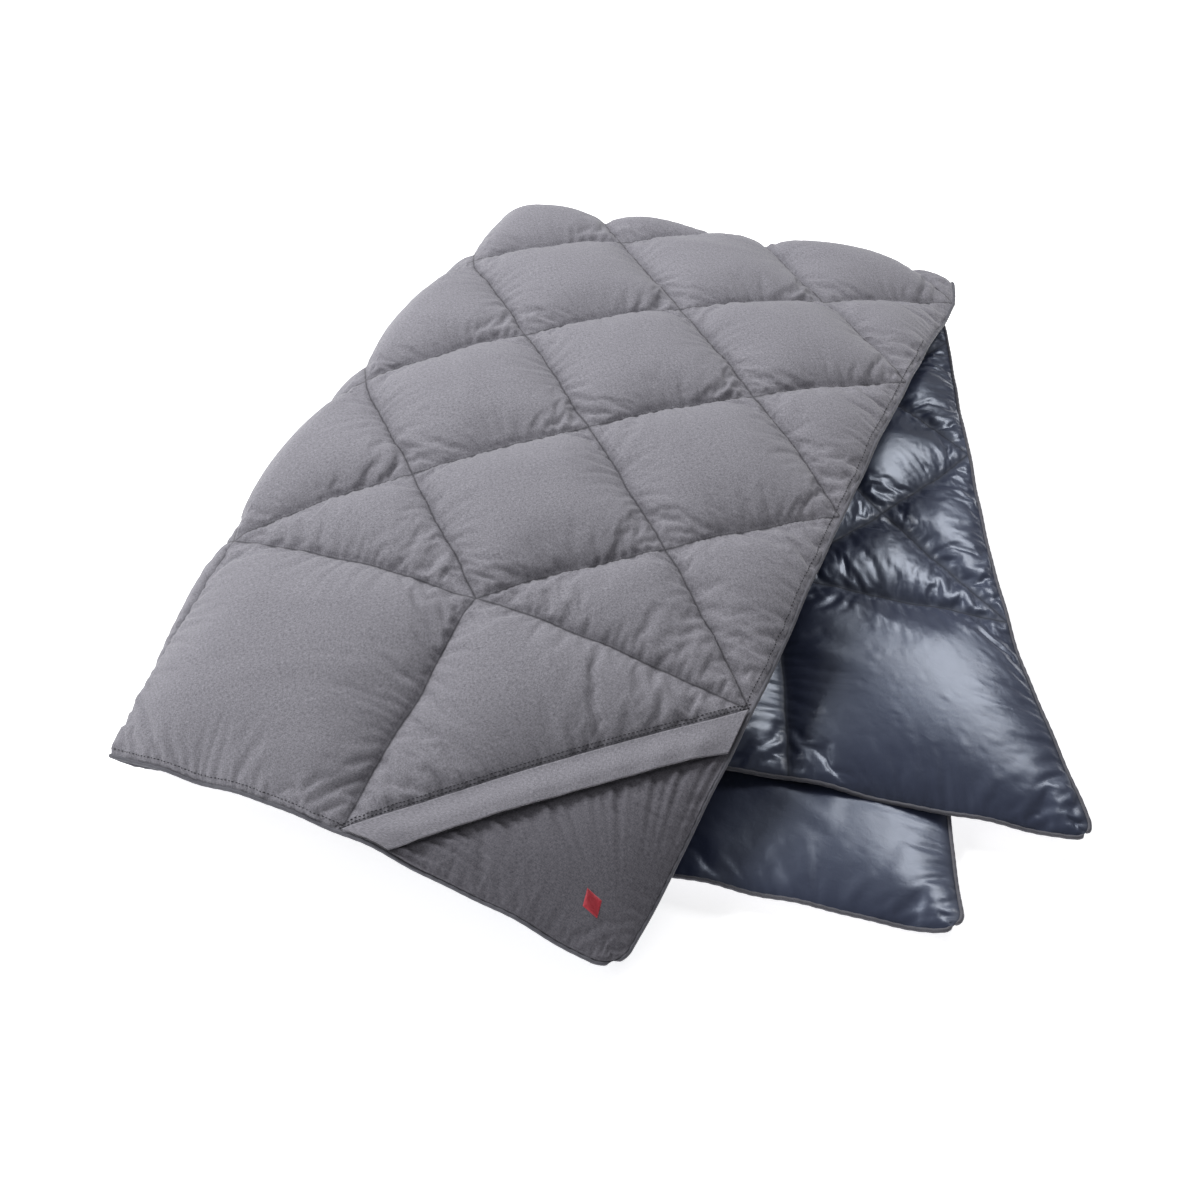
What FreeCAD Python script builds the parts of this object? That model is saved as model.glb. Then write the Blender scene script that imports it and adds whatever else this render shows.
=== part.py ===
import FreeCAD
import Part
import bisect
import math
import os

# Camp quilt, folded across and then along, lying on the floor. Millimetres, +Z up.
# A point of the flat quilt is (u, v), counted in quilting pitches: u runs in from the
# right-hand long edge, v runs from the pocket end to the other end.

# ---- driving dimensions -------------------------------------------------------------
PITCH = 254.0                 # side of one end square, ten inches
ACROSS = 5                    # end squares side by side: 1270 mm wide
ALONG = 8                     # pitches end to end: 2032 mm long
STEPS = 4                     # facets per pitch
CLOTH = 0.6                   # drawn thickness of the shell and lining cloth
CORE = 0.5                    # half the gap left for the stitched-together cloths
LOFT = 0.085                  # down loft each side at a chamber's middle, in pitches
LOFT_SIDE = 0.055             # the same in the side fold
LOFT_UNDER = 0.020            # the same where the layers above squash it
LOFT_POCKET = 0.035           # the same behind the corner pocket
SEAM_REACH = 0.13             # how fast a chamber swells away from its seams, in pitches
FILL_INSET = 0.26             # how far the down stops short of its seams
FILL_MARGIN = 0.38            # share of the thickness between the down and each cloth
PIPING_RADIUS = 2.0
POCKET_LIFT = 1.8             # air between the shell and the pocket cloth
FLAP_WIDTH = 32.0
FLAP_THICK = 1.2
FLAP_END = 0.07               # flap stops this far from the hems, in pitches
FLAP_HINGE_LIFT = 9.0         # straight hinge line above the gently arched seam
FLAP_TIP_LIFT = 8.0           # free edge above the pocket cloth
MARK_SIZE = 24.0              # corner to corner of the embroidered diamond
MARK_THICK = 0.8
MARK_AT = (0.16, 0.15)
FLOOR_GAP = 0.8               # everything but the resting panel stays this far up
CENTRE = (6.4, -14.9, 0.0)    # shift that puts the overall box on the origin

# ---- how the quilt lies: smooth lines through stations (share, x, y, z), in pitches ----
HEM_TOP = ((0, .05, -1.86, .06), (.25, .49, -1.05, .40), (.5, .86, -.19, .55),
           (.75, 1.21, .68, .56), (1, 1.55, 1.56, .46))
FOLD_TOP = ((0, -1.66, -.97, .15), (.3, -1.28, -.17, .45), (.6, -.86, .66, .61),
            (.9, -.46, 1.48, .68), (1, -.32, 1.76, .66))
FOLD_FLOOR = ((0, -1.60, -.95, .05), (.5, -1.0, .50, .07), (1, -.30, 1.76, .10))
HEM_FLOOR = ((0, 1.13, -1.70, .06), (.3, 1.18, -.80, .07), (.6, 1.28, .40, .08),
             (1, 1.46, 1.60, .10))
HEM_SECOND = ((0, 1.62, -1.33, .08), (.3, 1.48, -.40, .20), (.62, 1.47, .57, .28),
              (1, 1.52, 1.62, .27))
MID_SECOND = ((0, .63, -1.10, .15), (.3, .66, -.12, .30), (.6, .74, .82, .37),
              (1, .70, 1.68, .36))
FOLD_SECOND = ((0, -1.35, -.75, .19), (.5, -.80, .60, .30), (1, -.22, 1.62, .34))
FOLD_HIDDEN = ((0, -1.30, -.75, .15), (.5, -.78, .60, .20), (1, -.20, 1.62, .24))
HEM_HIDDEN = ((0, .55, -1.05, .16), (.5, 1.0, .30, .18), (1, 1.40, 1.50, .19))
# where along v the back turn starts and ends, by u
TURN = ((0, 4.0, 4.75), (1, 3.72, 4.35), (2, 3.45, 4.1), (3.2, 3.4, 3.85), (5, 3.5, 3.8))
SIDE_AT = 1.95                # u of the side fold on the top layer
SIDE_ROUND = 0.75             # side fold: depth of its bulge against a half circle
SECOND_FRONT = 2.92           # u of the side fold on the second layer, at its hem
SECOND_NARROWS = 0.0         # how much smaller that is at the back turn
SIDE_WAY = (-0.927, 0.375, 0.0)
BACK_WAY = (0.19, 0.982, 0.0)

HALF_TURN = math.pi


def mix(a, b, t):
    return tuple(p + (q - p) * t for p, q in zip(a, b))


def along(line, s):
    """Point of a smooth line through its stations, at share s."""
    at = [row[0] for row in line]
    s = min(max(s, at[0]), at[-1])
    k = min(max(bisect.bisect_right(at, s) - 1, 0), len(at) - 2)
    step = at[k + 1] - at[k]
    t = (s - at[k]) / step
    left, right = slopes(line, k), slopes(line, k + 1)
    h0 = 2 * t ** 3 - 3 * t ** 2 + 1
    h1 = (t ** 3 - 2 * t ** 2 + t) * step
    h2 = 3 * t ** 2 - 2 * t ** 3
    h3 = (t ** 3 - t ** 2) * step
    return tuple(h0 * line[k][c] + h1 * left[c - 1] + h2 * line[k + 1][c] + h3 * right[c - 1]
                 for c in range(1, len(line[k])))


def slopes(line, k):
    """Slope of a station line at station k, weighted for uneven spacing."""
    last = len(line) - 1
    before = line[max(k - 1, 0)]
    here = line[k]
    after = line[min(k + 1, last)]
    if k == 0:
        return [(after[c] - here[c]) / (after[0] - here[0]) for c in range(1, len(here))]
    if k == last:
        return [(here[c] - before[c]) / (here[0] - before[0]) for c in range(1, len(here))]
    back, ahead = here[0] - before[0], after[0] - here[0]
    return [(ahead ** -1 * (after[c] - here[c]) * back + back ** -1 * (here[c] - before[c]) * ahead)
            / (back + ahead) for c in range(1, len(here))]


def section(u, right, middle, top, low, end, side_at, bulge):
    """Across the quilt: over to the side fold, around it, and back underneath."""
    radius = max((top[2] - low[2]) / 2, 0.01)
    arc = HALF_TURN * radius
    if u <= side_at:
        t = u / side_at
        if middle is None:
            x, y, z = mix(right, top, t)
        elif u < 1:
            x, y, z = mix(right, middle, u)
        else:
            x, y, z = mix(middle, top, (u - 1) / (side_at - 1))
        return (x, y, z + bulge * 4 * t * (1 - t))
    if u <= side_at + arc:
        turn = (u - side_at) / radius
        base = mix(top, low, (1 - math.cos(turn)) / 2)
        reach = radius * SIDE_ROUND * math.sin(turn)
        return tuple(b + w * reach for b, w in zip(base, SIDE_WAY))
    return mix(low, end, (u - side_at - arc) / (ACROSS - side_at - arc))


def drape(u, v):
    """Middle of the quilt's thickness where it lies, in millimetres."""
    turn_from, turn_to = along(TURN, u)
    s = min(max(v / turn_from, 0), 1)
    q = min(max((ALONG - v) / (ALONG - turn_to), 0), 1)
    turn = HALF_TURN * min(max((v - turn_from) / (turn_to - turn_from), 0), 1)
    outer = section(u, along(HEM_TOP, s), None, along(FOLD_TOP, s), along(FOLD_FLOOR, s),
                    along(HEM_FLOOR, s), SIDE_AT, .12 - .08 * s)
    inner = section(u, along(HEM_SECOND, q), along(MID_SECOND, q), along(FOLD_SECOND, q),
                    along(FOLD_HIDDEN, q), along(HEM_HIDDEN, q),
                    SECOND_FRONT - SECOND_NARROWS * q, 0)
    reach = (turn_to - turn_from) / HALF_TURN * math.sin(turn)
    spot = mix(outer, inner, (1 - math.cos(turn)) / 2)
    return FreeCAD.Vector(*(PITCH * (p + w * reach) + c
                            for p, w, c in zip(spot, BACK_WAY, CENTRE)))


def shell_way(u, v):
    """Unit direction that points out of the shell side."""
    d = 0.03
    over = drape(min(u + d, ACROSS), v) - drape(max(u - d, 0), v)
    down = drape(u, min(v + d, ALONG)) - drape(u, max(v - d, 0))
    way = down.cross(over)
    way.normalize()
    return way


def swell(gap):
    return 1 - math.exp(-max(gap, 0) / SEAM_REACH)


def to_line(value):
    return abs(value - round(value))


def puff(u, v):
    """How full the chamber is here: 0 on a seam or hem, near 1 in the middle."""
    rise = swell(u) * swell(ACROSS - u) * swell(v) * swell(ALONG - v)
    if v < 1 or v > ALONG - 1:
        rise = rise * swell(to_line(u)) * swell(to_line(v)) / swell(0.5) ** 2
        if u < 1 and v < 1:
            rise = rise * swell(abs(u + v - 1) / math.sqrt(2)) * 1.6
        return min(rise / swell(0.5) ** 2, 1)
    rise = rise * swell(to_line(u + v) / math.sqrt(2)) * swell(to_line(u - v) / math.sqrt(2))
    rise = rise * swell(v - 1 + 1e-9) * swell(ALONG - 1 - v + 1e-9)
    return min(rise / swell(0.35) ** 2, 1)


def loft(u, v):
    """Full loft each side, in millimetres: less where the stack squashes it."""
    turn_from, turn_to = along(TURN, u)
    if v < turn_from:
        if u < 1 and u + v < 1:
            share = LOFT_POCKET
        elif u < SIDE_AT + 0.25:
            share = LOFT
        elif u < 2.9:
            share = LOFT_SIDE
        else:
            share = LOFT_UNDER
    elif v < turn_to:
        share = LOFT if u < SIDE_AT + 0.25 else LOFT_UNDER / 2
    elif u < 1.6:
        share = LOFT * 0.85
    else:
        share = LOFT_UNDER / 2
    return PITCH * share


def skin_point(u, v, side, extra):
    """Point on one side (+1 shell, -1 lining), extra further out."""
    height = CORE + loft(u, v) * puff(u, v) + extra
    spot = drape(u, v) + shell_way(u, v) * (side * height)
    if spot.z < FLOOR_GAP:
        spot.z = FLOOR_GAP + 0.01 * (height % 1)
    return spot


def closed(faces_points):
    """Closed solid from its triangles."""
    faces = []
    for a, b, c in faces_points:
        if (b - a).cross(c - a).Length < 1e-4:
            continue
        faces.append(Part.Face(Part.makePolygon([a, b, c, a])))
    shell = Part.makeShell(faces)
    shell.sewShape()
    if shell.ShapeType != "Shell":
        shell = shell.Shells[0]
    return Part.makeSolid(shell)


def split(corners, i, j):
    """Two triangles of one facet, divided along a seam where one crosses it."""
    a, b, c, d = corners
    if (i + j + 1) % STEPS == 0:
        return [(a, b, d), (b, c, d)]
    return [(a, b, c), (a, c, d)]


def sandwich(us, vs, upper, lower):
    """Solid between two grids of points over the same patch of the flat quilt."""
    up = {(i, j): upper(i / STEPS, j / STEPS) for i in us for j in vs}
    low = {(i, j): lower(i / STEPS, j / STEPS) for i in us for j in vs}
    tris = []
    for i in us[:-1]:
        for j in vs[:-1]:
            ring = [(i, j), (i + 1, j), (i + 1, j + 1), (i, j + 1)]
            tris += split([up[k] for k in ring], i, j)
            tris += split([low[k] for k in ring], i, j)
    rim = [(i, vs[0]) for i in us] + [(us[-1], j) for j in vs[1:]]
    rim += [(i, vs[-1]) for i in us[-2::-1]] + [(us[0], j) for j in vs[-2::-1]]
    for k, m in zip(rim[:-1], rim[1:]):
        tris += [(up[k], up[m], low[m]), (up[k], low[m], low[k])]
    return closed(tris)


def cloth_patch(u_from, u_to, v_from, v_to, side):
    """One panel of shell or lining cloth between two folds."""
    us = list(range(round(u_from * STEPS), round(u_to * STEPS) + 1))
    vs = list(range(round(v_from * STEPS), round(v_to * STEPS) + 1))
    return sandwich(us, vs, lambda u, v: skin_point(u, v, side, CLOTH),
                    lambda u, v: skin_point(u, v, side, 0.0))


def on_facets(u, v, side):
    """Point on the inner face of one cloth's facets, the way sandwich() divides them."""
    i = min(int(u * STEPS + 1e-9), ACROSS * STEPS - 1)
    j = min(int(v * STEPS + 1e-9), ALONG * STEPS - 1)
    x, y = u * STEPS - i, v * STEPS - j
    a, b, c, d = [skin_point((i + m) / STEPS, (j + n) / STEPS, side, 0.0)
                  for m, n in ((0, 0), (1, 0), (1, 1), (0, 1))]
    if (i + j + 1) % STEPS == 0:
        if x + y <= 1:
            return a + (b - a) * x + (d - a) * y
        return c + (d - c) * (1 - x) + (b - c) * (1 - y)
    if x >= y:
        return a + (b - a) * x + (c - b) * y
    return a + (d - a) * y + (c - d) * x


def down_fill(centre, corners):
    """Down in one stitched chamber: two low cones of facets over its inset outline."""
    outline = []
    for k, corner in enumerate(corners):
        nxt = corners[(k + 1) % len(corners)]
        outline += [mix(corner, nxt, n / 2) for n in range(2)]
    rim = [mix(spot, centre, FILL_INSET) for spot in outline]
    waist = [mix(spot, centre, 0.5) for spot in outline]
    layers = []
    for side in (1, -1):
        def point(spot, side=side):
            near, far = on_facets(*spot, side), on_facets(*spot, -side)
            return near + (far - near) * FILL_MARGIN
        layers.append(([point(s) for s in rim], [point(s) for s in waist], point(centre)))
    tris = []
    count = len(rim)
    for edge, belt, peak in layers:
        for k in range(count):
            m = (k + 1) % count
            tris += [(edge[k], edge[m], belt[m]), (edge[k], belt[m], belt[k])]
            tris.append((belt[k], belt[m], peak))
    top_rim, low_rim = layers[0][0], layers[1][0]
    for k in range(count):
        m = (k + 1) % count
        tris += [(top_rim[k], top_rim[m], low_rim[m]), (top_rim[k], low_rim[m], low_rim[k])]
    return closed(tris)


def clear_of_folds(centre, corners):
    """A folded chamber's down gathers on one side of the tight fold that crosses it."""
    u, v = centre
    if u > 1.9 and 3.4 < v < 3.6:
        rest, share = (u, v - 0.5), 0.4
    elif u > 1.4 and 3.9 < v < 4.1:
        rest, share = (u, v + 0.5), 0.55
    elif 2.9 < u < 3.1 and v > 5.4:
        rest, share = (u - 0.5, v), 0.38
    elif u < 0.5 and 4.4 < v < 4.6:
        rest, share = (0, v + 0.5), 0.4
    else:
        return down_fill(centre, corners)
    return down_fill(mix(rest, centre, share), [mix(rest, spot, share) for spot in corners])


def square_row(v_from):
    """Down of the five squares across one end."""
    row = []
    for i in range(ACROSS):
        if i == 0 and v_from == 0:
            row.append(down_fill((1 / 3, 1 / 3), [(0, 0), (1, 0), (0, 1)]))
            row.append(down_fill((2 / 3, 2 / 3), [(1, 0), (1, 1), (0, 1)]))
            continue
        ring = [(i, v_from), (i + 1, v_from), (i + 1, v_from + 1), (i, v_from + 1)]
        row.append(down_fill((i + 0.5, v_from + 0.5), ring))
    return row


def diamond_row(v_mid):
    """Down of the diamonds whose middles lie at v_mid, halves at hems and end rows."""
    on_line = abs(v_mid - round(v_mid)) < 0.1
    row = []
    for i in range(ACROSS + 1):
        u_mid = i + 0.5 if on_line else i
        if u_mid > ACROSS:
            continue
        ring = [(u_mid - 0.5, v_mid), (u_mid, v_mid - 0.5), (u_mid + 0.5, v_mid),
                (u_mid, v_mid + 0.5)]
        ring = [(u, v) for u, v in ring if -0.1 < u < ACROSS + 0.1 and 0.9 < v < ALONG - 0.9]
        middle = tuple(sum(c) / len(ring) for c in zip(*ring))
        if len(ring) == 3:
            row.append(clear_of_folds(middle, ring))
        else:
            row.append(clear_of_folds((u_mid, v_mid), ring))
    return row


def tube(path, radius):
    """Six-sided round cord along a path of points."""
    sides = 6
    rings = []
    for k, spot in enumerate(path):
        way = path[min(k + 1, len(path) - 1)] - path[max(k - 1, 0)]
        way.normalize()
        across = way.cross(FreeCAD.Vector(0, 0, 1))
        across.normalize()
        rise = across.cross(way)
        rings.append([spot + across * (radius * math.cos(2 * HALF_TURN * n / sides))
                      + rise * (radius * math.sin(2 * HALF_TURN * n / sides))
                      for n in range(sides)])
    tris = []
    for near, far in zip(rings[:-1], rings[1:]):
        for n in range(sides):
            m = (n + 1) % sides
            tris += [(near[n], near[m], far[m]), (near[n], far[m], far[n])]
    for ring in (rings[0], rings[-1]):
        tris += [(ring[0], ring[n], ring[n + 1]) for n in range(1, sides - 1)]
    return closed(tris)


def piping(u_from, v_from, u_to, v_to):
    """Corded edging along one side of the quilt, set just outside the cloths."""
    count = round((abs(u_to - u_from) + abs(v_to - v_from)) * STEPS)
    lengthwise = abs(v_to - v_from) > 0
    path = []
    for k in range(count + 1):
        trim = min(max(k / count, 0.01 / (count / STEPS)), 1 - 0.01 / (count / STEPS))
        u = u_from + (u_to - u_from) * trim
        v = v_from + (v_to - v_from) * trim
        spot = drape(u, v)
        inward = drape(min(max(u, 0.05), ACROSS - 0.05), v) if lengthwise else \
            drape(u, min(max(v, 0.05), ALONG - 0.05))
        away = spot - inward
        away.normalize()
        place = spot + away * (PIPING_RADIUS + 0.5)
        place.z = max(place.z, FLOOR_GAP + PIPING_RADIUS)
        path.append(place)
    return tube(path, PIPING_RADIUS)


def plank(corners, thick):
    """Flat strip over four corners, thick upwards."""
    face = Part.Face(Part.makePolygon(corners + [corners[0]]))
    return face.extrude(up_from(corners) * thick)


def up_from(corners):
    way = (corners[1] - corners[0]).cross(corners[2] - corners[0])
    way.normalize()
    return way if way.z > 0 else way * -1


def pocket_panel():
    """Cloth of the corner pocket, over the shell between the diagonal and the corner."""
    grid = [(i, j) for i in range(STEPS + 1) for j in range(STEPS + 1 - i)]
    shrink = 0.97
    high, low = {}, {}
    for i, j in grid:
        u, v = mix((1 / 3, 1 / 3), (i / STEPS, j / STEPS), shrink)
        low[i, j] = skin_point(u, v, 1, CLOTH + POCKET_LIFT)
        high[i, j] = skin_point(u, v, 1, 2 * CLOTH + POCKET_LIFT)
    tris = []
    for layer in (high, low):
        for i, j in grid:
            if i + j < STEPS:
                tris.append((layer[i, j], layer[i + 1, j], layer[i, j + 1]))
            if i + j < STEPS - 1:
                tris.append((layer[i + 1, j], layer[i + 1, j + 1], layer[i, j + 1]))
    rim = [(i, 0) for i in range(STEPS)] + [(STEPS - k, k) for k in range(STEPS)]
    rim += [(0, j) for j in range(STEPS, -1, -1)]
    for k, m in zip(rim[:-1], rim[1:]):
        tris += [(high[k], high[m], low[m]), (high[k], low[m], low[k])]
    return closed(tris)


def flap_corners():
    """Hinge line and free edge of the pocket flap, as one flat strip."""
    near = skin_point(1 - FLAP_END, FLAP_END, 1, 0)
    far = skin_point(FLAP_END, 1 - FLAP_END, 1, 0)
    hinge = far - near
    hinge.normalize()
    plane_tip = skin_point(1 / 3, 1 / 3, 1, FLAP_TIP_LIFT)
    middle = (near + far) * 0.5
    toward = plane_tip - middle
    toward = toward - hinge * toward.dot(hinge)
    toward.normalize()
    lift = FreeCAD.Vector(0, 0, FLAP_HINGE_LIFT)
    return [near + lift, far + lift, far + lift + toward * FLAP_WIDTH,
            near + lift + toward * FLAP_WIDTH]


def floor_panel():
    """The shell cloth that the whole folded quilt rests on."""
    front = [drape(u / STEPS, 0.06) for u in range(13, ACROSS * STEPS)]
    right = [drape(4.94, v / STEPS) for v in range(1, 14)]
    back = [drape(u / STEPS, 3.3) for u in range(ACROSS * STEPS - 1, 12, -1)]
    left = [drape(3.25, v / STEPS) for v in range(12, 0, -1)]
    ring = [FreeCAD.Vector(p.x, p.y, 0) for p in front + right + back + left]
    face = Part.Face(Part.makePolygon(ring + [ring[0]]))
    return face.extrude(FreeCAD.Vector(0, 0, FLOOR_GAP - 0.1))


def embroidered_mark():
    """Small satin-stitched diamond on the pocket."""
    u, v = MARK_AT
    up = shell_way(u, v)
    spot = skin_point(u, v, 1, 2 * CLOTH + POCKET_LIFT + 1.6)
    side = (drape(u + 0.05, v) - drape(u, v))
    side = side - up * side.dot(up)
    side.normalize()
    fore = up.cross(side)
    half = MARK_SIZE / 2
    ring = [spot + side * half, spot + fore * half, spot - side * half, spot - fore * half]
    face = Part.Face(Part.makePolygon(ring + [ring[0]]))
    return face.extrude(up * MARK_THICK)


def build():
    nodes = {}
    patches = {"top": (0, 2, 0, 3.25), "side_fold": (2, 3.25, 0, 3.25),
               "back_fold": (0, 2.25, 3.25, 4.75), "back_under": (2.25, 5, 3.25, 4.75),
               "second": (0, 3, 4.75, 8), "hidden": (3, 5, 4.75, 8),
               "floor": (3.25, 5, 0, 3.25)}
    for name, (u_from, u_to, v_from, v_to) in patches.items():
        nodes["lining_" + name] = [cloth_patch(u_from, u_to, v_from, v_to, -1)]
        if name != "floor":
            nodes["shell_" + name] = [cloth_patch(u_from, u_to, v_from, v_to, 1)]
    nodes["shell_floor"] = [floor_panel()]
    nodes["fill_pocket_end"] = square_row(0)
    nodes["fill_far_end"] = square_row(ALONG - 1)
    for half in range(2, 2 * (ALONG - 1) + 1):
        nodes["fill_diamonds_%02d" % (half - 1)] = diamond_row(half / 2)
    nodes["piping_pocket_end"] = [piping(0, 0, ACROSS, 0)]
    nodes["piping_far_end"] = [piping(0, ALONG, ACROSS, ALONG)]
    nodes["piping_right"] = [piping(0, 0, 0, ALONG)]
    nodes["piping_left"] = [piping(ACROSS, 0, ACROSS, ALONG)]
    nodes["pocket_panel"] = [pocket_panel()]
    nodes["pocket_flap"] = [plank(flap_corners(), FLAP_THICK)]
    nodes["embroidered_mark"] = [embroidered_mark()]
    return nodes


os.makedirs("parts", exist_ok=True)
for node, solids in build().items():
    shape = solids[0] if len(solids) == 1 else Part.makeCompound(solids)
    shape.exportStep("parts/%s.step" % node)
    box = shape.BoundBox
    print("%-22s %2d solids ok=%s x %.1f..%.1f y %.1f..%.1f z %.1f..%.1f vol %.0f" % (
        node, len(solids), all(s.isValid() and s.isClosed() and s.Volume > 0 for s in solids),
        box.XMin, box.XMax, box.YMin, box.YMax, box.ZMin, box.ZMax, shape.Volume))
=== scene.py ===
"""Camp quilt: down chambers sewn between a heathered shell and a glossy lining.

Places on the flat quilt are (u, v) in pitches: u from the right-hand edge, v from the
pocket end.
"""

import logging
import math
from dataclasses import dataclass, field
from enum import Enum
from functools import partial

import bmesh
import bpy
import numpy as np
from mathutils import Matrix, Vector


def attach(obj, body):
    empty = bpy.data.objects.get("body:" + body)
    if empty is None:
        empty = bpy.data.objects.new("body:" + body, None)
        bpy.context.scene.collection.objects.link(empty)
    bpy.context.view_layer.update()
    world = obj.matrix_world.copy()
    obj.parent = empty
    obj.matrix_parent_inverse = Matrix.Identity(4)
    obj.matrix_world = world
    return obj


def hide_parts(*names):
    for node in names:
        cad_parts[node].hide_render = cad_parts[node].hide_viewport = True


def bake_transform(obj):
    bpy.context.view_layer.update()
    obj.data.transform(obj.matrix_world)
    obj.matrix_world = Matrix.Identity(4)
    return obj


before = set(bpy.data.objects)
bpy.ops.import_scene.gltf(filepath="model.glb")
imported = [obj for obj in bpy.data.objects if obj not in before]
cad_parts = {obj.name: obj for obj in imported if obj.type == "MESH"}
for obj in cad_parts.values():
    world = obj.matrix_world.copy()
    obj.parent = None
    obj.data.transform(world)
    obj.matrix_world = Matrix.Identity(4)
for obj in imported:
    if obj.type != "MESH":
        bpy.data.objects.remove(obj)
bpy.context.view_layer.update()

logging.basicConfig(level=logging.INFO, format="%(message)s")
LOG = logging.getLogger("quilt")

PITCH = 0.254                    # side of one end square, ten inches
ACROSS = 5                       # end squares side by side
ALONG = 8                        # pitches end to end
SIM_STEPS = 64                   # cloth cells per pitch in the simulation
FLOOR_CLEAR = 0.0006             # the resting cloth stays this far above the floor
WELD = 1e-6                      # points closer than this are one
ANY_PHASE = 6.3                  # radians, about a whole turn
TABLE_AT = Vector((0.0064, -0.0149, 0.0))   # shift of the lay onto the object's origin
ELEVATION = 40.0                 # camera height angle, degrees
DISTANCE = 7.0 * PITCH           # camera from the point it looks at
LENS = 54.4                      # millimetres
AMBIENT = 0.17                   # strength of the even light from all round
Array = np.ndarray

# waves of the hems and strays of the seams: (amount, turns across, turns along, phase)
SIDE_HEM_WAVES = ((1.0, 0, 7.3, 2.1), (0.7, 0, 12.9, 0.4), (0.5, 0, 21.0, 0))
END_HEM_WAVES = ((1.0, 6.1, 0, 0.9), (0.8, 13.7, 0, 2.2), (0.5, 23.0, 0, 0))
CREASE_SWAY = ((0.9, 3.1, 2.3, 1.0), (0.7, -2.9, 4.7, 0))
STRAY_ACROSS = ((1.0, 5.1, 9.7, 0.6), (0.7, 15.3, -11.1, 2.0), (0.45, 29.0, 25.0, 0))
STRAY_ALONG = ((1.0, 8.3, -6.1, 1.7), (0.7, 13.9, 16.7, 4.0), (0.45, 27.0, -31.0, 0))


class Side(Enum):
    """Which cloth of the quilt, by the way it faces from the middle."""

    SHELL = 1
    LINING = -1


def smooth(t: Array) -> Array:
    """Eased step from 0 to 1."""
    t = np.clip(t, 0.0, 1.0)
    return t * t * (3.0 - 2.0 * t)


def waves(u: Array, v: Array, terms: tuple) -> Array:
    """Sum of plane waves over the flat quilt.

    Args:
        terms: rows of (amount, turns across, turns along, phase).

    Returns:
        Their sum at each place.
    """
    return sum(amount * np.sin(over * u + along * v + phase)
               for amount, over, along, phase in terms)


@dataclass(frozen=True)
class Rail:
    """Smooth line through stations.

    Args:
        stations: rows of (share, x, y, z) in pitches.
    """

    stations: tuple

    def at(self, share: Array) -> Array:
        """Points of the line.

        Args:
            share: where along the line, 0 to 1.

        Returns:
            Points, one row each.
        """
        rows = np.array(self.stations, float)
        x, y = rows[:, 0], rows[:, 1:]
        slope = np.gradient(y, x, axis=0)
        s = np.clip(share, x[0], x[-1])
        k = np.clip(np.searchsorted(x, s, side="right") - 1, 0, len(x) - 2)
        step = (x[k + 1] - x[k])[..., None]
        t = ((s - x[k]) / (x[k + 1] - x[k]))[..., None]
        return ((2 * t**3 - 3 * t**2 + 1) * y[k] + (t**3 - 2 * t**2 + t) * step * slope[k]
                + (3 * t**2 - 2 * t**3) * y[k + 1] + (t**3 - t**2) * step * slope[k + 1])


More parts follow.
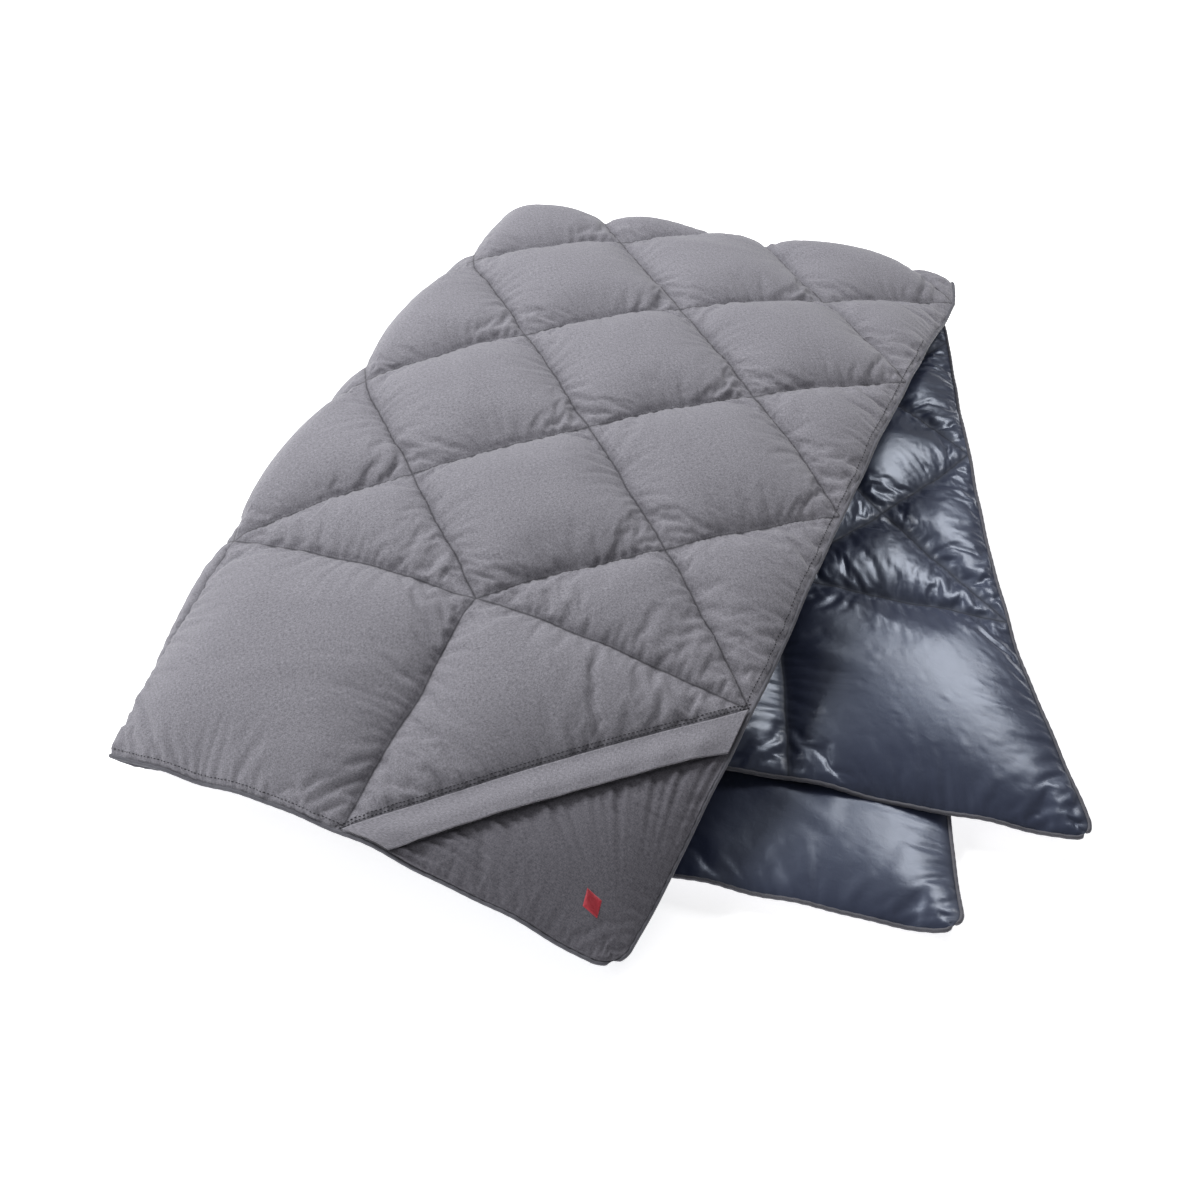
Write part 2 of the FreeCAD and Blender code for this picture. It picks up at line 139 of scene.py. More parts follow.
@dataclass(frozen=True)
class Drape:
    """How the flat quilt lies: folded across at the back, then along its left side."""

    hem_top: Rail = Rail(((0, .05, -1.86, .06), (.25, .49, -1.05, .40), (.5, .86, -.19, .55),
                          (.75, 1.21, .68, .55), (1, 1.54, 1.54, .39)))
    fold_top: Rail = Rail(((0, -1.66, -.97, .125), (.3, -1.28, -.17, .45),
                           (.6, -.86, .66, .61), (.9, -.46, 1.48, .68), (1, -.32, 1.76, .66)))
    fold_floor: Rail = Rail(((0, -1.60, -.95, .065), (.5, -1.0, .50, .07),
                             (1, -.30, 1.76, .10)))
    hem_floor: Rail = Rail(((0, 1.13, -1.70, .06), (.3, 1.18, -.80, .07),
                            (.6, 1.28, .40, .08), (1, 1.46, 1.60, .10)))
    hem_second: Rail = Rail(((0, 1.62, -1.33, .08), (.3, 1.48, -.40, .20),
                             (.62, 1.47, .57, .28), (1, 1.52, 1.62, .27)))
    mid_second: Rail = Rail(((0, .63, -1.10, .15), (.3, .66, -.12, .30),
                             (.6, .74, .82, .37), (1, .70, 1.68, .36)))
    fold_second: Rail = Rail(((0, -1.35, -.75, .19), (.5, -.80, .60, .30),
                              (1, -.22, 1.62, .34)))
    fold_hidden: Rail = Rail(((0, -1.30, -.75, .15), (.5, -.78, .60, .20),
                              (1, -.20, 1.62, .24)))
    hem_hidden: Rail = Rail(((0, .55, -1.05, .16), (.5, 1.0, .30, .18),
                             (1, 1.40, 1.50, .19)))
    turn: Rail = Rail(((0, 4.0, 4.75), (1, 3.72, 4.35), (2, 3.45, 4.1), (3.2, 3.4, 3.85),
                       (5, 3.5, 3.8)))
    side_at: float = 1.95
    side_round: float = 0.62
    second_front: float = 2.92
    side_way: tuple = (-0.927, 0.375, 0.0)
    back_way: tuple = (0.19, 0.982, 0.0)
    corner: float = 0.09
    sags: tuple = (0.12, 0.08)
    wave_height: float = 0.0065
    wave_reach: float = 0.10

    def section(self, u: Array, right: Array, middle: Array | None, top: Array, low: Array,
                end: Array, side_at: float, bulge: Array | float) -> Array:
        """Across the quilt: over to the side fold, around it, and back underneath.

        Args:
            u: pitches across.
            right: edge of the upper layer.
            middle: the upper layer one pitch in, or None for a straight run.
            top: the upper layer where the side fold starts.
            low: the lower layer where the side fold ends.
            end: edge of the lower layer.
            side_at: u of the side fold.
            bulge: extra height halfway over the upper layer.

        Returns:
            Points in pitches.
        """
        radius = np.maximum((top[..., 2] - low[..., 2]) / 2, 0.01)
        arc = np.pi * radius
        t = np.clip(u / side_at, 0, 1)
        if middle is None:
            over = right + (top - right) * t[..., None]
        else:
            first = right + (middle - right) * np.clip(u, 0, 1)[..., None]
            over = first + (top - first) * np.clip((u - 1) / (side_at - 1), 0, 1)[..., None]
        over[..., 2] += bulge * 4 * t * (1 - t)
        turn = np.clip((u - side_at) / radius, 0, np.pi)
        around = top + (low - top) * ((1 - np.cos(turn)) / 2)[..., None]
        around = around + np.array(self.side_way) * (
            radius * self.side_round * np.sin(turn))[..., None]
        share = np.clip((u - side_at - arc) / (ACROSS - side_at - arc), 0, 1)
        under = low + (end - low) * share[..., None]
        return np.where((u <= side_at)[..., None], over,
                        np.where((u <= side_at + arc)[..., None], around, under))

    def at(self, u: Array, v: Array) -> Array:
        """Middle of the quilt's thickness where it lies.

        Returns:
            Points in metres in the object's frame.
        """
        u, v = self.rounded(u, v)
        turns = self.turn.at(u)
        starts, ends = turns[..., 0], turns[..., 1]
        s = np.clip(v / starts, 0, 1)
        q = np.clip((ALONG - v) / (ALONG - ends), 0, 1)
        angle = np.pi * np.clip((v - starts) / (ends - starts), 0, 1)
        outer = self.section(u, self.hem_top.at(s), None, self.fold_top.at(s),
                             self.fold_floor.at(s), self.hem_floor.at(s),
                             self.side_at, self.sags[0] - self.sags[1] * s)
        inner = self.section(u, self.hem_second.at(q), self.mid_second.at(q),
                             self.fold_second.at(q), self.fold_hidden.at(q),
                             self.hem_hidden.at(q), self.second_front, 0.0)
        reach = (ends - starts) / np.pi * np.sin(angle)
        spot = outer + (inner - outer) * ((1 - np.cos(angle)) / 2)[..., None]
        spot = spot + np.array(self.back_way) * reach[..., None]
        spot[..., 2] += self.ripple(u, v)
        return spot * PITCH + np.array(TABLE_AT)

    def rounded(self, u: Array, v: Array) -> tuple[Array, Array]:
        """Flat place drawn in to the quilt's rounded corners."""
        near_u, near_v = np.minimum(u, ACROSS - u), np.minimum(v, ALONG - v)
        x = np.clip(1 - near_u / self.corner, 0, 1)
        y = np.clip(1 - near_v / self.corner, 0, 1)
        draw = np.maximum(x, y) / np.maximum(np.hypot(x, y), 1e-9)
        draw = np.where((x > 0) & (y > 0), 1 - draw, 0) * self.corner
        return (u + np.where(u < ACROSS / 2, 1, -1) * draw * x,
                v + np.where(v < ALONG / 2, 1, -1) * draw * y)

    def ripple(self, u: Array, v: Array) -> Array:
        """Small uneven waves along the free hems, in pitches."""
        side = waves(u, v, SIDE_HEM_WAVES) * np.exp(-np.minimum(u, ACROSS - u)
                                                    / self.wave_reach)
        end = waves(u, v, END_HEM_WAVES) * np.exp(-np.minimum(v, ALONG - v)
                                                  / self.wave_reach)
        return self.wave_height * (side + end)

    def shell_way(self, u: Array, v: Array) -> Array:
        """Unit directions out of the shell side.

        Returns:
            Unit vectors, one row each.
        """
        d = 0.03
        over = self.at(np.minimum(u + d, ACROSS), v) - self.at(np.maximum(u - d, 0), v)
        down = self.at(u, np.minimum(v + d, ALONG)) - self.at(u, np.maximum(v - d, 0))
        way = np.cross(down, over)
        return way / np.maximum(np.linalg.norm(way, axis=-1, keepdims=True), 1e-12)


DRAPE = Drape()


def swell(gap: Array, reach: float = 0.13) -> Array:
    """Rise of a chamber at a distance from its seam."""
    return 1 - np.exp(-np.maximum(gap, 0) / reach)


@dataclass(frozen=True)
class SewnCloth:
    """One cloth of the quilt, blown up between its seams by cloth simulation.

    Args:
        wide: simulated width in pitches.
        long: simulated length in pitches.
        pocket: whether the corner pocket's diagonal is sewn.
        slack: share by which the cloth is larger than the seams' layout.
        bend: bending stiffness.
        seed: seed of the first ripples.
        full: height of a full chamber that the result is scaled to, in metres.
        frames: length of the simulation.
        push: pressure of the down.
        steep: power that makes the rise beside a seam steeper.
        first_ripple: random unevenness that the wrinkles start from, in metres.
    """

    wide: float
    long: float
    pocket: bool
    slack: float
    bend: float
    seed: int
    full: float
    frames: int = 28
    push: float = 60.0
    steep: float = 0.78
    first_ripple: float = 0.00018

    def seams(self, i: Array, j: Array) -> Array:
        """Which points of the cloth are sewn down.

        Args:
            i: grid steps in from the right-hand edge.
            j: grid steps from the end.

        Returns:
            Mask of sewn points.
        """
        n = SIM_STEPS
        diamonds = (j >= n) & (((i + j) % n == 0) | ((i - j) % n == 0))
        squares = (j <= n) & (i % n == 0)
        rows = (j == 0) | (j == n)
        edges = (i == 0) | (i == round(self.wide * n)) | (j == round(self.long * n))
        sewn = diamonds | squares | rows | edges
        return sewn | (i + j == n) if self.pocket else sewn

    def blown(self) -> Array:
        """Offsets of every point of the cloth from its flat place.

        Returns:
            Array of (across, along, 3): in-plane offsets in pitches and height in metres.
        """
        n = SIM_STEPS
        nu, nv = round(self.wide * n), round(self.long * n)
        piece = grid_piece("sim cloth", nu, nv)
        i, j = grid_steps(piece.data, nu, nv)
        sewn = self.seams(i, j)
        ripple = np.random.default_rng(self.seed).normal(0, self.first_ripple,
                                                         (nu + 3, nv + 3))
        ripple = sum(ripple[a:a + nu + 1, b:b + nv + 1] for a in range(3) for b in range(3))
        flat = np.stack([i / n * PITCH, j / n * PITCH, np.where(sewn, 0, ripple[i, j])], 1)
        piece.data.vertices.foreach_set("co", flat.astype(np.float32).ravel())
        group = piece.vertex_groups.new(name="sewn")
        group.add(np.flatnonzero(sewn).tolist(), 1.0, "REPLACE")
        cloth = piece.modifiers.new("cloth", "CLOTH")
        how = cloth.settings
        how.quality = 5
        how.mass = 0.001
        how.air_damping = 1.0
        how.tension_stiffness = how.compression_stiffness = 6
        how.shear_stiffness = 5
        how.bending_stiffness = self.bend
        how.vertex_group_mass = "sewn"
        how.use_pressure = True
        how.uniform_pressure_force = self.push
        how.shrink_min = how.shrink_max = -self.slack
        how.effector_weights.gravity = 0
        cloth.collision_settings.use_collision = False
        cloth.point_cache.frame_start = 1
        cloth.point_cache.frame_end = self.frames
        for tick in range(1, self.frames + 1):
            bpy.context.scene.frame_set(tick)
        shown = piece.evaluated_get(bpy.context.evaluated_depsgraph_get())
        raw = np.zeros(len(flat) * 3, np.float32)
        shown.data.vertices.foreach_get("co", raw)
        shift = raw.reshape(-1, 3).astype(float) - np.where([False, False, True], 0, flat)
        out = np.zeros((nu + 1, nv + 1, 3))
        out[i, j] = shift
        bpy.data.objects.remove(piece, do_unlink=True)
        out[..., :2] /= PITCH
        top = np.percentile(out[..., 2], 97)
        out[..., 2] = self.full * np.maximum(out[..., 2] / top, 0) ** self.steep
        LOG.info("cloth blown up: %d points, height scaled by %.2f", len(flat),
                 self.full / top)
        return out


def grid_piece(name: str, nu: int, nv: int) -> bpy.types.Object:
    """Flat grid object to be shaped.

    Args:
        name: object name.
        nu: cells across.
        nv: cells along.

    Returns:
        The object, a unit square centred on the origin.
    """
    work = bmesh.new()
    bmesh.ops.create_grid(work, x_segments=nu, y_segments=nv, size=0.5)
    mesh = bpy.data.meshes.new(name)
    work.to_mesh(mesh)
    work.free()
    piece = bpy.data.objects.new(name, mesh)
    bpy.context.scene.collection.objects.link(piece)
    return piece


def welded(piece: bpy.types.Object, capped: bool = False) -> None:
    """Joins coinciding points of a shaped grid.

    Args:
        piece: the object.
        capped: whether its open ends are closed as well.
    """
    work = bmesh.new()
    work.from_mesh(piece.data)
    bmesh.ops.remove_doubles(work, verts=work.verts, dist=WELD)
    if capped:
        bmesh.ops.holes_fill(work, edges=[e for e in work.edges if e.is_boundary], sides=0)
        bmesh.ops.recalc_face_normals(work, faces=work.faces)
    work.to_mesh(piece.data)
    work.free()


def grid_steps(mesh: bpy.types.Mesh, nu: int, nv: int) -> tuple[Array, Array]:
    """Grid position of every vertex of a fresh grid.

    Args:
        mesh: mesh made by grid_piece.
        nu: cells across.
        nv: cells along.

    Returns:
        Whole steps across and along.
    """
    co = np.zeros(len(mesh.vertices) * 3, np.float32)
    mesh.vertices.foreach_get("co", co)
    co = co.reshape(-1, 3)
    return (np.rint((co[:, 0] + 0.5) * nu).astype(int),
            np.rint((co[:, 1] + 0.5) * nv).astype(int))


def lay_map(mesh: bpy.types.Mesh, across: Array, along: Array) -> None:
    """Flat cloth coordinates in metres as the mesh's UV map.

    Args:
        mesh: mesh to map.
        across: metres across for each vertex.
        along: metres along for each vertex.
    """
    layer = mesh.uv_layers.new(name="cloth")
    corner = np.zeros(len(mesh.loops), np.int32)
    mesh.loops.foreach_get("vertex_index", corner)
    uv = np.stack([across[corner], along[corner]], 1).astype(np.float32)
    layer.data.foreach_set("uv", uv.ravel())


def shape_piece(piece: bpy.types.Object, points: Array, outward: Array) -> None:
    """Moves a grid's vertices into place, faces outwards, smooth shaded.

    Args:
        piece: the grid object.
        points: place of each vertex.
        outward: wanted outward direction at each vertex.
    """
    mesh = piece.data
    mesh.vertices.foreach_set("co", points.astype(np.float32).ravel())
    mesh.update()
    face = mesh.polygons[len(mesh.polygons) // 2]
    if face.normal.dot(Vector(outward[face.vertices[0]])) < 0:
        mesh.flip_normals()
    mesh.shade_smooth()
    mesh.update()


def creases(u: Array, v: Array, seed: int) -> Array:
    """Patchy soft ridges where loose cloth is pulled across a chamber.

    Args:
        seed: seed of their directions.

    Returns:
        Heights from 0 to about 1.
    """
    rng = np.random.default_rng(seed)
    families, evened = 6, 1.6
    sway = waves(u, v, CREASE_SWAY)
    total = np.zeros_like(u)
    for _ in range(families):
        angle, turns = rng.uniform(0, math.pi), rng.uniform(7.0, 19.0)
        along = u * math.cos(angle) + v * math.sin(angle)
        beside = v * math.cos(angle) - u * math.sin(angle)
        ridge = np.maximum(np.cos(turns * along + 1.4 * sway + rng.uniform(0, ANY_PHASE)), 0) ** 3
        patch = smooth(np.sin(rng.uniform(3.0, 6.0) * beside + sway + rng.uniform(0, ANY_PHASE)))
        total = total + rng.uniform(0.5, 1.0) * ridge * patch
    return total / evened


@dataclass
class PuffField:
    """Blown-up cloth spread over the whole quilt by the pattern's own repeat.

    Args:
        cloth: the simulated corner of the quilt.
        side: which cloth it is.
        crease: height of its loose creases, in metres.
    """

    cloth: SewnCloth
    side: Side
    crease: float
    table: Array = field(init=False)

    def __post_init__(self) -> None:
        """Runs the simulation once."""
        self.table = self.cloth.blown()

    def look_up(self, u: Array, v: Array) -> Array:
        """Offsets between the simulated points, inside the simulated corner."""
        nu, nv = self.table.shape[0] - 1, self.table.shape[1] - 1
        x = np.clip(u * SIM_STEPS, 0, nu - 1e-6)
        y = np.clip(v * SIM_STEPS, 0, nv - 1e-6)
        i, j = x.astype(int), y.astype(int)
        fx, fy = (x - i)[..., None], (y - j)[..., None]
        t = self.table
        return ((t[i, j] * (1 - fx) + t[i + 1, j] * fx) * (1 - fy)
                + (t[i, j + 1] * (1 - fx) + t[i + 1, j + 1] * fx) * fy)

    def repeated(self, u: Array, v: Array) -> Array:
        """Offsets anywhere, from the same place of the repeat, faded at the joins.

        Args:
            u: pitches in from the edge that the simulated corner has.
            v: pitches from the end that it has.

        Returns:
            Offsets, one row each.
        """
        last_u, last_v = math.floor(self.cloth.wide - 0.4), math.floor(self.cloth.long - 0.4)
        near_u = u - np.maximum(np.floor(u) - last_u + 1, 0)
        near_v = v - np.maximum(np.floor(v) - last_v + 1, 0)
        home = self.look_up(near_u, near_v)
        # just past a join the cloth still carries the last repeat's own wrinkles
        grow = 0.22
        past_u = (u > last_u) & (u < last_u + grow)
        past_v = (v > last_v) & (v < last_v + grow)
        straight_u = np.where(past_u, u, near_u)
        straight_v = np.where(past_v, v, near_v)
        kept = self.look_up(straight_u, straight_v)
        fade = np.where(past_u, 1 - smooth((u - last_u) / grow), 0)
        fade = np.maximum(fade, np.where(past_v, 1 - smooth((v - last_v) / grow), 0))
        return home + (kept - home) * fade[..., None]

    def at(self, u: Array, v: Array) -> Array:
        """Offsets at a place of the whole quilt.

        Returns:
            In-plane offsets in pitches and height in metres, one row each.
        """
        back = v > ALONG / 2
        left = (u > ACROSS / 2) & (self.side is Side.LINING)
        out = self.repeated(np.where(left, ACROSS - u, u), np.where(back, ALONG - v, v))
        out = out * np.stack([np.where(left, -1, 1), np.where(back, -1, 1),
                              np.ones_like(u)], -1)
        if self.side is Side.SHELL:
            out = out * swell(ACROSS - u, 0.05)[..., None]
        full = np.clip(out[..., 2] / self.cloth.full, 0, 1)
        out[..., 2] += self.crease * creases(u, v, self.cloth.seed) * full
        return out


def squashed(u: Array, v: Array, side: Side) -> Array:
    """Share of its full height that a chamber keeps where the stack presses on it.

    Args:
        side: which cloth.

    Returns:
        Shares, one each.
    """
    under_from, under_to = 2.2, 3.0                 # the cloth goes under the stack
    fold_from, fold_over, fold_loss = 1.7, 0.5, 0.45     # drawn tight round the side fold
    covered_from, covered_over, covered_loss = 1.3, 0.6, 0.75   # second layer out of sight
    under_pocket, second_keeps = 0.2, 0.8
    falls = smooth((u - under_from) / (under_to - under_from))
    if side is Side.SHELL:
        falls_to = 0.85
        held = np.where(u + v < 1, under_pocket, 1.0)
        held = held * (1 - fold_loss * smooth((u - fold_from) / fold_over))
    else:
        falls_to, held = 0.6, 1.0
    upper = (1 + (falls_to - 1) * falls) * held
    second = second_keeps * (1 - covered_loss * smooth((u - covered_from) / covered_over))
    turns = DRAPE.turn.at(u)
    blend = smooth((v - turns[..., 0]) / (turns[..., 1] - turns[..., 0]))
    return upper + (second - upper) * blend


def wander(u: Array, v: Array) -> tuple[Array, Array]:
    """Small strays of the sewn lines from the drawn pattern, none at the hems.

    Returns:
        Offsets in pitches across and along.
    """
    fade, most = 0.3, 0.0042
    held = (smooth(np.minimum(u, ACROSS - u) / fade) * smooth(np.minimum(v, ALONG - v) / fade)
            * smooth((u + v - 1) / fade))
    return (most * waves(u, v, STRAY_ACROSS) * held,
            most * waves(u, v, STRAY_ALONG) * held)


def cloth_points(u: Array, v: Array, puffs: PuffField, lift: float = 0.0,
                 share: float = 1.0) -> tuple[Array, Array]:
    """Where one cloth lies over the folded quilt.

    Args:
        puffs: the cloth's blown-up shape.
        lift: extra height above it, in metres.
        share: how much of its relief to keep.

    Returns:
        Points and outward directions.
    """
    core = 0.0005                    # the two cloths meet this far either side
    offs = puffs.at(u, v)
    keep = squashed(u, v, puffs.side) * share
    stray_u, stray_v = wander(u, v)
    nu = np.clip(u + offs[..., 0] * keep + stray_u, 0, ACROSS)
    nv = np.clip(v + offs[..., 1] * keep + stray_v, 0, ALONG)
    way = DRAPE.shell_way(nu, nv) * puffs.side.value
    height = core + offs[..., 2] * keep + lift
    spot = DRAPE.at(nu, nv) + way * height[..., None]
    low = spot[..., 2] < FLOOR_CLEAR
    spot[..., 2] = np.where(low, FLOOR_CLEAR, spot[..., 2])
    return spot, way


# ---------------------------------------------------------------- materials


def group_of(name: str, inputs: dict, outputs: dict) -> tuple:
    """New shader node group with its sockets.

    Args:
        name: group name.
        inputs: socket name to (socket type, default).
        outputs: socket name to socket type.

    Returns:
        The group, its input node and its output node.
    """
    tree = bpy.data.node_groups.new(name, "ShaderNodeTree")
    for label, (kind, value) in inputs.items():
        made = tree.interface.new_socket(label, in_out="INPUT", socket_type=kind)
        made.default_value = value
    for label, kind in outputs.items():
        tree.interface.new_socket(label, in_out="OUTPUT", socket_type=kind)
    return tree, tree.nodes.new("NodeGroupInput"), tree.nodes.new("NodeGroupOutput")


def node(tree: bpy.types.NodeTree, kind: str, **settings) -> bpy.types.Node:
    """New node with its settings.

    Args:
        tree: where it goes.
        kind: node type.
        settings: properties by name, or input values as in_NAME.

    Returns:
        The node.
    """
    made = tree.nodes.new(kind)
    for key, value in settings.items():
        if key.startswith("in_"):
            made.inputs[key[3:].replace("_", " ")].default_value = value
        else:
            setattr(made, key, value)
    return made


def maths(tree: bpy.types.NodeTree, how: str, a, b=None, c=None):
    """Math node on sockets or numbers; returns its output socket."""
    made = tree.nodes.new("ShaderNodeMath")
    made.operation = how
    for k, value in enumerate((a, b, c)):
        if value is None:
            continue
        if isinstance(value, (int, float)):
            made.inputs[k].default_value = value
        else:
            tree.links.new(value, made.inputs[k])
    return made.outputs[0]


def mixed(tree: bpy.types.NodeTree, share, a, b):
    """Colour mix of a to b by share; sockets or colours."""
    made = tree.nodes.new("ShaderNodeMix")
    made.data_type = "RGBA"
    for key, value in ((0, share), (6, a), (7, b)):
        if isinstance(value, (int, float, tuple)):
            made.inputs[key].default_value = value
        else:
            tree.links.new(value, made.inputs[key])
    return made.outputs[2]


def cloth_map(tree: bpy.types.NodeTree) -> tuple:
    """The flat cloth map in metres: its socket, and a node with it split up."""
    place = node(tree, "ShaderNodeUVMap", uv_map="cloth")
    parts = node(tree, "ShaderNodeSeparateXYZ")
    tree.links.new(place.outputs["UV"], parts.inputs[0])
    return place.outputs["UV"], parts


def seam_group() -> bpy.types.NodeTree:
    """Sewn lines of the quilting pattern, on the flat cloth map in metres.

    Returns:
        Group with a Line output, 1 on a seam and 0 beside it, and a wider Near output;
        the quilted cloths darken their colour by both as painted shade in the seams' valleys, the
        thin Line partly standing for the seam's dark thread.
    """
    tree, enter, leave = group_of(
        "quilting seams", {"Width": ("NodeSocketFloat", 0.0016)},
        {"Line": "NodeSocketFloat", "Near": "NodeSocketFloat"})
    link, do = tree.links.new, partial(maths, tree)
    place, parts = cloth_map(tree)
    u = do("DIVIDE", parts.outputs[0], PITCH)
    v = do("DIVIDE", parts.outputs[1], PITCH)

    def gap(value, share: float):
        """Metres from the nearest line of one family."""
        return do("MULTIPLY", do("PINGPONG", value, 0.5), share * PITCH)

    def at_row(row: float):
        """Metres from one straight row."""
        return do("MULTIPLY", do("ABSOLUTE", do("SUBTRACT", v, row)), PITCH)

    slant = 1 / math.sqrt(2)
    diamonds = do("MINIMUM", gap(do("ADD", u, v), slant), gap(do("SUBTRACT", u, v), slant))
    inside = do("MULTIPLY", do("GREATER_THAN", v, 1.0), do("LESS_THAN", v, float(ALONG - 1)))
    squares = gap(u, 1.0)
    away = do("ADD", do("MULTIPLY", diamonds, inside),
              do("MULTIPLY", squares, do("SUBTRACT", 1.0, inside)))
    rows = do("MINIMUM", at_row(1.0), at_row(float(ALONG - 1)))
    away = do("MINIMUM", away, rows)
    thin = do("DIVIDE", away, enter.outputs["Width"])
    line = do("SUBTRACT", 1.0, thin)
    line.node.use_clamp = True
    wide = do("SUBTRACT", 1.0, do("DIVIDE", away, 0.012))
    wide.node.use_clamp = True
    link(line, leave.inputs["Line"])
    link(do("MULTIPLY", wide, wide), leave.inputs["Near"])
    return tree


def weave_group() -> bpy.types.NodeTree:
    """Plain weave with heathered threads, on the flat cloth map in metres.

    Returns:
        Group with Height, Fleck and Cloud outputs.
    """
    tree, enter, leave = group_of(
        "cloth weave",
        {"Threads per m": ("NodeSocketFloat", 1800.0), "Fleck size": ("NodeSocketFloat", 900.0)},
        {"Height": "NodeSocketFloat", "Fleck": "NodeSocketFloat", "Cloud": "NodeSocketFloat"})
    link, do = tree.links.new, partial(maths, tree)
    place, parts = cloth_map(tree)
    turns = do("MULTIPLY", enter.outputs["Threads per m"], math.pi)
    warp = do("SINE", do("MULTIPLY", parts.outputs[0], turns))
    weft = do("SINE", do("MULTIPLY", parts.outputs[1], turns))
    checks = do("MULTIPLY", warp, weft)
    link(do("MULTIPLY_ADD", checks, 0.5, 0.5), leave.inputs["Height"])
    long_way = node(tree, "ShaderNodeMapping", in_Scale=(1.0, 0.28, 1.0))
    cross_way = node(tree, "ShaderNodeMapping", in_Scale=(0.28, 1.0, 1.0))
    flecks = []
    for way in (long_way, cross_way):
        link(place, way.inputs["Vector"])
        grain = node(tree, "ShaderNodeTexNoise", in_Detail=2.0, in_Roughness=0.6)
        link(way.outputs[0], grain.inputs["Vector"])
        link(enter.outputs["Fleck size"], grain.inputs["Scale"])
        flecks.append(grain.outputs[0])
    link(do("MULTIPLY", do("ADD", flecks[0], flecks[1]), 0.5), leave.inputs["Fleck"])
    cloud = node(tree, "ShaderNodeTexNoise", in_Scale=14.0, in_Detail=4.0)
    link(place, cloud.inputs["Vector"])
    link(cloud.outputs[0], leave.inputs["Cloud"])
    return tree


@dataclass(frozen=True)
class ClothFinish:
    """Woven cloth: colour, flecks, gloss and sheen, with painted shade along the seams of the
    quilted cloths.

    Args:
        name: material name.
        colour: base colour.
        fleck_colour: colour of the lighter threads.
        fleck: how far the flecks show.
        roughness: base roughness.
        specular: specular level.
        sheen: sheen weight.
        coat: coat weight.
        coat_roughness: roughness of the coat.
        bump: strength of the weave's relief.
        crumple: strength of the fine creases between the threads and the folds.
        fleck_size: flecks to a metre.
        tint: colour of the highlights.
    """

    name: str
    colour: tuple
    fleck_colour: tuple
    fleck: float
    roughness: float
    specular: float
    sheen: float
    coat: float = 0.0
    coat_roughness: float = 0.3
    bump: float = 0.3
    crumple: float = 0.2
    fleck_size: float = 1150.0
    tint: tuple = (1.0, 1.0, 1.0)

    def make(self, weave: bpy.types.NodeTree,
             seams: bpy.types.NodeTree | None = None) -> bpy.types.Material:
        """The material.

        Args:
            weave: the weave group.
            seams: the quilting pattern's group, for the quilted cloths, whose colour it darkens
                along the seams as painted shade.

        Returns:
            The new material.
        """
        mat = bpy.data.materials.new(self.name)
        mat.use_nodes = True
        tree = mat.node_tree
        link, do = tree.links.new, partial(maths, tree)
        skin = tree.nodes["Principled BSDF"]
        cloth = node(tree, "ShaderNodeGroup", node_tree=weave)
        cloth.inputs["Fleck size"].default_value = self.fleck_size
        spread = node(tree, "ShaderNodeMapRange", in_From_Min=0.36, in_From_Max=0.64)
        link(cloth.outputs["Fleck"], spread.inputs[0])
        share = do("MULTIPLY", spread.outputs[0], self.fleck)
        base = mixed(tree, share, (*self.colour, 1.0), (*self.fleck_colour, 1.0))
        fade = do("MULTIPLY", cloth.outputs["Cloud"], 0.22)
        shade = mixed(tree, fade, base, (*(c * 0.72 for c in self.colour), 1.0))
        if seams is not None:
            sewn = node(tree, "ShaderNodeGroup", node_tree=seams)
            # Painted shade: the colour darkens beside each seam (Near) as shade in its valley,
            # and further on the thin seam line (Line), which is partly the seam's dark thread and
            # partly painted shade.
            painted_seam_shade = do("MULTIPLY_ADD", sewn.outputs["Near"], 0.28,
                     do("MULTIPLY", sewn.outputs["Line"], 0.5))
            shade = mixed(tree, painted_seam_shade, shade, (*(c * 0.12 for c in self.colour), 1.0))
            open_cloth = do("SUBTRACT", 1.0, sewn.outputs["Near"])
            link(do("MULTIPLY", open_cloth, self.coat), skin.inputs["Coat Weight"])
        link(shade, skin.inputs["Base Color"])
        rough = do("MULTIPLY_ADD", cloth.outputs["Cloud"], 0.16, self.roughness - 0.08)
        if seams is not None:
            rough = do("MULTIPLY_ADD", sewn.outputs["Near"], 0.45, rough)
        link(rough, skin.inputs["Roughness"])
        place = node(tree, "ShaderNodeUVMap", uv_map="cloth")
        crease = node(tree, "ShaderNodeTexNoise", in_Scale=95.0, in_Detail=3.0,
                      in_Distortion=0.6)
        link(place.outputs["UV"], crease.inputs["Vector"])
        soft = node(tree, "ShaderNodeBump", in_Strength=self.crumple, in_Distance=0.002)
        link(crease.outputs[0], soft.inputs["Height"])
        relief = node(tree, "ShaderNodeBump", in_Strength=self.bump, in_Distance=0.0003)
        link(cloth.outputs["Height"], relief.inputs["Height"])
        link(soft.outputs[0], relief.inputs["Normal"])
        link(relief.outputs[0], skin.inputs["Normal"])
        skin.inputs["Specular IOR Level"].default_value = self.specular
        skin.inputs["Specular Tint"].default_value = (*self.tint, 1.0)
        skin.inputs["Coat Tint"].default_value = (*self.tint, 1.0)
        skin.inputs["Sheen Weight"].default_value = self.sheen
        skin.inputs["Sheen Roughness"].default_value = 0.4
        if seams is None:
            skin.inputs["Coat Weight"].default_value = self.coat
        skin.inputs["Coat Roughness"].default_value = self.coat_roughness
        return mat


SHELL_FINISH = ClothFinish("heathered shell", (0.155, 0.151, 0.176), (0.345, 0.338, 0.375),
                           1.0, 0.78, 0.25, 0.25, bump=0.35, crumple=0.10)
